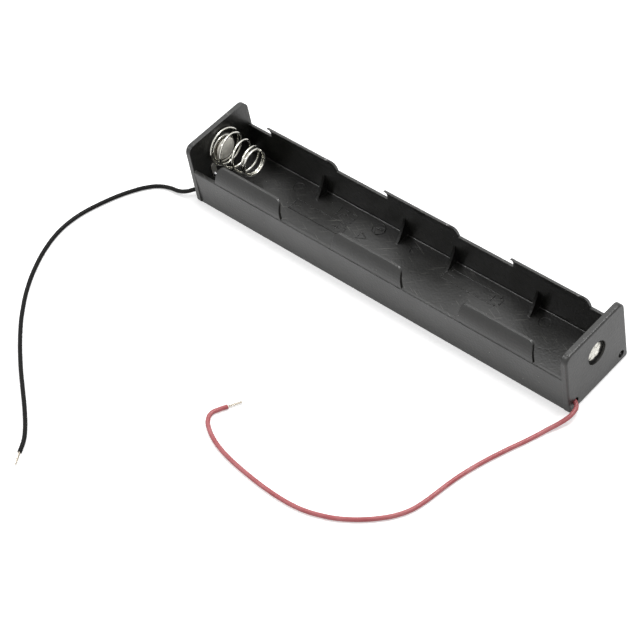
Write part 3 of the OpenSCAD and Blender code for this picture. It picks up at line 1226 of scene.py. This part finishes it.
@dataclass
class SolderTag:
    """A stamped ring with a tail, under a rivet's head. Its edges have a slight burr."""

    side: Side
    edge_round: float = 0.05 * MM
    sharp_deg: float = 40.0
    finish: Finish = NICKEL

    def build(self, frame: dict) -> Piece:
        """Builds the tag around its solid.


        Returns:
            The piece.
        """
        label = self.side.name.lower()
        mesh = solid_mesh(frame, f"{label}_tag")
        piece = mesh_piece(f"{label}_solder_tag", mesh, self.sharp_deg)
        bevelled(piece, self.edge_round, 2, self.sharp_deg)
        settled(piece)
        return dressed(piece, self.finish.material(), "plated_metal", f"{label}_tag")


@dataclass
class Lead:
    """A thin wire lead: its solder joint, its insulation and its bare, tinned end.

    The points of its way say how far each lies outwards and forwards from the wire hole.
    Those of lead_in count their height from the hole too, and those of way from the ground.
    """

    side: Side
    way: Sequence[tuple[float, float, float]]
    finish: Finish
    colour: str
    diameter: float = 1.5 * MM
    core_d: float = 0.7 * MM
    core_l: float = 4.7 * MM
    bare_l: float = 1.7 * MM
    lay_l: float = 5 * MM
    outer_strands: int = 6
    strand_steps: int = 24
    strand_sides: int = 10
    tag_face: float = 2.5 * MM
    tail_y: float = 6 * MM
    tail_z: float = 6.85 * MM
    solder_r: float = 1 * MM
    solder_h: float = 1.1 * MM
    solder_steps: int = 18
    solder_sides: int = 48
    mound_power: float = 0.8
    skirt: float = 0.16
    skirt_h: float = 0.1
    end_x: float = 80.5 * MM
    lead_in: tuple[tuple[float, float, float], ...] = (
        (-4.2, -3.6, 2.2),
        (-4.3, -2.3, 1.3),
        (-3.6, -1.1, 0.5),
        (-2.1, -0.2, 0),
        (0.1, 0.4, 0),
    )

    @property
    def joint(self) -> Vector:
        """Point inside the solder where the bare wire starts."""
        x = self.end_x - self.tag_face - self.solder_h / 2
        return Vector((self.side.value * x, -self.tail_y, self.tail_z))

    def from_hole(self, out: float, ahead: float, height: float) -> Vector:
        """Gives a point by its distance from the wire hole.

        Args:
            out: Distance outwards, in millimetres.
            ahead: Distance forwards, in millimetres.
            height: Height above the ground, in metres.

        Returns:
            The point in the row frame.
        """
        return Vector((self.side.value * (self.end_x + out * MM), -HOLE_Y - ahead * MM, height))

    def route(self) -> list[Vector]:
        """Works out the line of the insulation.

        Returns:
            Its points, from the solder joint to the bare end.
        """
        bends = [self.from_hole(out, ahead, HOLE_Z + up * MM) for out, ahead, up in self.lead_in]
        bends += [self.from_hole(out, ahead, up * MM) for out, ahead, up in self.way]
        start = self.joint + self.bare_l * (bends[0] - self.joint).normalized()
        return [start, *bends]

    def insulation(self, route: Sequence[Vector]) -> Piece:
        """Builds the insulation as one smooth curve.

        Args:
            route: The points that it passes.

        Returns:
            The curve.
        """
        data = bpy.data.curves.new(f"{self.colour}_wire", "CURVE")
        data.dimensions = "3D"
        data.bevel_depth = self.diameter / 2
        data.bevel_resolution = 5
        data.resolution_u = 8
        data.use_fill_caps = True
        spline = data.splines.new("BEZIER")
        spline.bezier_points.add(len(route) - 1)
        for knot, place in zip(spline.bezier_points, route):
            knot.co = place
            knot.handle_left_type = knot.handle_right_type = "AUTO"
        return linked(f"{self.colour}_wire", data)

    def strand_tree(self, length: float) -> Tree:
        """Builds the geometry tree that twists the strands of the wire.

        Args:
            length: Length of the bare wire.

        Returns:
            The tree, with inputs for the length, the strand and the twist.
        """
        sizes = {"Length": length, "Strand": self.core_d / 3, "Twists": length / self.lay_l}
        tree = new_tree("twist_strands", sizes)
        formulas = (
            ("share", "DIVIDE", "index", float(self.strand_steps)),
            ("twisted", "MULTIPLY", "share", "Twists"),
            ("angle", "MULTIPLY", "twisted", 2 * math.pi),
            ("cosine", "COSINE", "angle"),
            ("sine", "SINE", "angle"),
            ("across", "MULTIPLY", "Strand", "cosine"),
            ("aside", "MULTIPLY", "Strand", "sine"),
            ("along", "MULTIPLY", "share", "Length"),
            ("half strand", "MULTIPLY", "Strand", 0.5),
            ("step", "MULTIPLY", "index", 2 * math.pi / self.outer_strands),
        )
        known = work_out(tree, formulas)
        links = {"Count": self.strand_steps + 1}
        line = add_node(tree, "GeometryNodeMeshLine", {"mode": "OFFSET"}, links).outputs[0]
        straight = {"Z": known["along"]}
        twisted = {"X": known["across"], "Y": known["aside"], **straight}
        outer, middle = (
            wire_along(tree, line, place, known["half strand"], self.strand_sides)
            for place in (twisted, straight)
        )
        joined = add_node(tree, "GeometryNodeJoinGeometry")
        around = set_round(tree, outer, self.outer_strands, "Z", known["step"])
        for part in (around, middle):
            tree.links.new(part, joined.inputs[0])
        return finish_tree(tree, joined.outputs[0], TINNED.material())

    def strands(self, name: str, start: Vector, along: Vector, length: float) -> Piece:
        """Builds a length of twisted strands.

        Args:
            name: Name of the piece.
            start: Where it starts.
            along: Its direction.
            length: Its length.

        Returns:
            The piece, without its slot.
        """
        piece = grown(name, "twist", self.strand_tree(length))
        turn = along.to_track_quat("Z", "Y").to_matrix().to_4x4()
        piece.data.transform(Matrix.Translation(start) @ turn)
        smooth(piece.data, WIRE_SHARP)
        return piece

    def solder(self, towards: Vector) -> Piece:
        """Builds the mound of solder and the bare wire that leaves it.

        Args:
            towards: Direction in which the wire leaves.

        Returns:
            The piece.
        """
        inward = -self.side.value
        foot = Vector((self.joint.x - inward * self.solder_h / 2, self.joint.y, self.joint.z))
        # Solder wets its tag, so the side of the mound curves in above a thin skirt.
        profile = [(0.0, 0.0), (0.0, self.solder_r)]
        for k in range(1, self.solder_steps):
            share = k / self.solder_steps
            mound = (1 - self.skirt) * math.cos(share * math.pi / 2) ** self.mound_power
            skirt = self.skirt * math.exp(-((share / self.skirt_h) ** 2))
            profile.append((self.solder_h * share, self.solder_r * min(1.0, mound + skirt)))
        profile.append((self.solder_h, 0.0))
        mesh = bmesh.new()
        lathe(mesh, profile, self.solder_sides)
        place = Matrix.Translation(foot) @ inward_turn(self.side)
        bmesh.ops.transform(mesh, matrix=place, verts=mesh.verts)
        label = self.side.name.lower()
        mound = mesh_piece(f"{label}_solder_joint", mesh, SOLDER_SHARP)
        wire = self.strands("wire", self.joint, towards, self.bare_l)
        both = bmesh.new()
        for part in (mound, wire):
            both.from_mesh(part.data)
        both.to_mesh(mound.data)
        both.free()
        bpy.data.objects.remove(wire)
        smooth(mound.data, SOLDER_SHARP)
        return dressed(mound, SOLDER.material(), "solder", f"{label}_solder")

    def build(self) -> None:
        route = self.route()
        self.solder((route[0] - self.joint).normalized())
        wire = self.insulation(route)
        dressed(wire, self.finish.material(), f"{self.colour}_insulation", f"{self.colour}_lead")
        along = (route[-1] - route[-2]).normalized()
        tip = self.strands(f"{self.colour}_wire_tip", route[-1], along, self.core_l)
        dressed(tip, TINNED.material(), "tinned_wire", f"{self.colour}_lead_tip")


BLACK_WAY = (
    (1.9, 1.8, 2.8), (3.9, 3.5, 2.2), (6.9, 4.6, 1.5), (11, 5, 1), (15.1, 6.5, 0.8),
    (18.5, 9.5, 0.8), (21.3, 13.4, 0.8), (23.6, 17.5, 0.8), (25.5, 21.8, 0.8),
    (27.1, 26.2, 0.8), (28.4, 30.7, 0.8), (29.1, 35.3, 0.8), (29.2, 39.9, 0.8),
    (28.6, 44.5, 0.8), (27.4, 49, 0.8), (25.8, 53.4, 0.8), (23.8, 57.7, 0.8), (21.6, 61.8, 0.8),
    (19.1, 65.8, 0.8), (16.4, 69.6, 0.8), (13.4, 73.3, 0.8), (10.3, 76.9, 0.8), (7, 80.3, 0.8),
    (3.6, 83.6, 0.8), (0.1, 86.8, 0.8), (-3.5, 89.9, 0.8), (-7.1, 92.9, 0.8),
    (-10.8, 95.8, 0.8), (-14.5, 98.7, 0.8), (-18.2, 101.6, 0.8), (-21.8, 104.6, 0.8),
    (-25.4, 107.8, 0.8), (-28.7, 111.4, 0.8), (-31.2, 115.5, 0.8),
)
RED_WAY = (
    (1.4, 1.6, 2.9), (1.8, 3.5, 2.6), (1.5, 6, 2.2), (0.4, 8.8, 1.6), (-1.1, 11.9, 1.1),
    (-2.6, 15.6, 0.8), (-4.2, 19.8, 0.8), (-6, 24, 0.8), (-7.7, 28.3, 0.8), (-9.3, 32.6, 0.8),
    (-10.7, 37, 0.8), (-11.9, 41.5, 0.8), (-12.8, 46, 0.8), (-13.5, 50.6, 0.8),
    (-14.3, 55.1, 0.8), (-15.6, 59.5, 0.8), (-17.9, 63.5, 0.8), (-20.9, 67, 0.8),
    (-24.3, 70.1, 0.8), (-28.1, 72.9, 0.8), (-32.2, 75.3, 0.8), (-36.5, 77.1, 0.8),
    (-41, 78.5, 0.8), (-45.7, 79.3, 0.8), (-50.4, 79.6, 0.8), (-55.1, 79.6, 0.8),
    (-59.8, 79.4, 0.8), (-64.5, 79, 0.8), (-69.2, 78.5, 0.8), (-73.8, 77.8, 0.8),
    (-78.4, 76.8, 0.8), (-82.8, 75.3, 0.8), (-86.7, 73.3, 0.8), (-89.5, 71, 0.8),
    (-90.6, 68.4, 0.8), (-89.7, 66, 0.8), (-88.1, 63.3, 0.8),
)


# --------------------------------------------------------------------- studio


@dataclass(frozen=True)
class Lamp:
    """A soft square lamp that points at the object.

    Its direction is from the object, and its radiance is how bright its face looks.
    """

    name: str
    direction: tuple[float, float, float]
    distance: float
    size: float
    radiance: float

    def build(self, aim: Vector) -> None:
        """Makes the lamp.

        Args:
            aim: What it points at.
        """
        data = bpy.data.lights.new(self.name, "AREA")
        data.shape = "SQUARE"
        data.size = self.size
        data.energy = math.pi * self.size**2 * self.radiance
        towards = Vector(self.direction).normalized()
        made = linked(self.name, data)
        made.location = aim + towards * self.distance
        made.rotation_mode = "QUATERNION"
        made.rotation_quaternion = (-towards).to_track_quat("-Z", "Y")


@dataclass
class Studio:
    """A white paper sweep, a pale room and three soft lamps.

    Together they light a level surface about as brightly as a white one looks white.
    """

    floor_size: float = 6.0
    floor_drop: float = 0.02 * MM
    aim: Vector = field(default_factory=lambda: Vector((0.0, -20 * MM, 0.0)))
    room_glow: float = 0.25
    lamps: tuple[Lamp, ...] = (
        Lamp("rear_softbox", (-0.52, 0.42, 0.74), 1.0, 0.8, 0.8),
        Lamp("overhead_key", (0.1, 0.26, 0.96), 0.9, 0.35, 14.0),
        Lamp("edge_light", (-0.5, -0.45, 0.74), 0.9, 0.16, 18.0),
    )

    def floor(self) -> None:
        """Lays the paper just under the object."""
        place = (0.0, 0.0, -self.floor_drop)
        bpy.ops.mesh.primitive_plane_add(size=self.floor_size, location=place)
        sheet = bpy.context.object
        sheet.name = "paper_sweep"
        sheet.data.materials.append(StudioPaper().material())

    def room(self) -> None:
        """Lights everything evenly, and shows white behind the object."""
        world = bpy.data.worlds.new("pale_room")
        bpy.context.scene.world = world
        world.use_nodes = True
        tree = world.node_tree
        background = tree.nodes["Background"]
        background.inputs["Color"].default_value = WHITE
        strength = ray_strength(tree, self.room_glow, 1.0, 1.0)
        tree.links.new(strength, background.inputs["Strength"])

    def build(self) -> None:
        """Sets up the floor, the room and the lamps."""
        self.floor()
        self.room()
        for lamp in self.lamps:
            lamp.build(self.aim)
        bpy.context.scene.view_settings.view_transform = "Standard"


@dataclass
class Viewpoint:
    """The camera: a long lens that looks down over the button end."""

    aim: Vector = field(default_factory=lambda: Vector((-8.32, -30.67, 0.0)) * MM)
    distance: float = 676.27 * MM
    azimuth: float = 51.37
    elevation: float = 48.05
    roll: float = -12.32
    lens: float = 117.96
    sensor: float = 36.0
    clip: tuple[float, float] = (0.05, 20.0)

    def build(self) -> None:
        """Makes the camera and sets it as the scene's own."""
        turn, tilt = math.radians(self.azimuth), math.radians(self.elevation)
        back = Vector(
            (math.sin(turn) * math.cos(tilt), -math.cos(turn) * math.cos(tilt), math.sin(tilt))
        )
        right = Vector((math.cos(turn), math.sin(turn), 0.0))
        axes = Matrix((right, back.cross(right), back)).transposed()
        data = bpy.data.cameras.new("camera")
        data.lens = self.lens
        data.sensor_width = self.sensor
        data.clip_start, data.clip_end = self.clip
        camera = linked("camera", data)
        camera.rotation_mode = "QUATERNION"
        rolled = axes.to_4x4() @ Matrix.Rotation(math.radians(self.roll), 4, "Z")
        camera.rotation_quaternion = rolled.to_quaternion()
        camera.location = self.aim + back * self.distance
        bpy.context.scene.camera = camera


def main() -> None:
    """Builds the camera and leads first, then the other pieces and the studio."""
    logging.basicConfig(level=logging.INFO, format="%(message)s")
    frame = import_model()
    Viewpoint().build()
    low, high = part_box("tray")
    Lead(Side.SPRING, BLACK_WAY, BLACK_VINYL, "black", end_x=-low.x).build()
    Lead(Side.BUTTON, RED_WAY, RED_VINYL, "red", end_x=high.x).build()
    Moulding().build(frame)
    FloorMarks().build()
    ContactSpring().build(low.x)
    spring_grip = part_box("spring_tag")[1].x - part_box("spring_tag")[0].x + ContactSpring.wire_d
    button_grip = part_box("button_tag")[1].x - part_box("button_tag")[0].x
    # The spring-end rivet takes the nickel copy whose lighter colour is a painted highlight.
    Rivet(Side.SPRING, low.x, spring_grip, finish=DULL_NICKEL_PAINTED_BRIGHT).build()
    Rivet(Side.BUTTON, high.x, button_grip).build()
    for side in Side:
        SolderTag(side).build(frame)
    Studio().build()


if __name__ == "__main__":
    main()
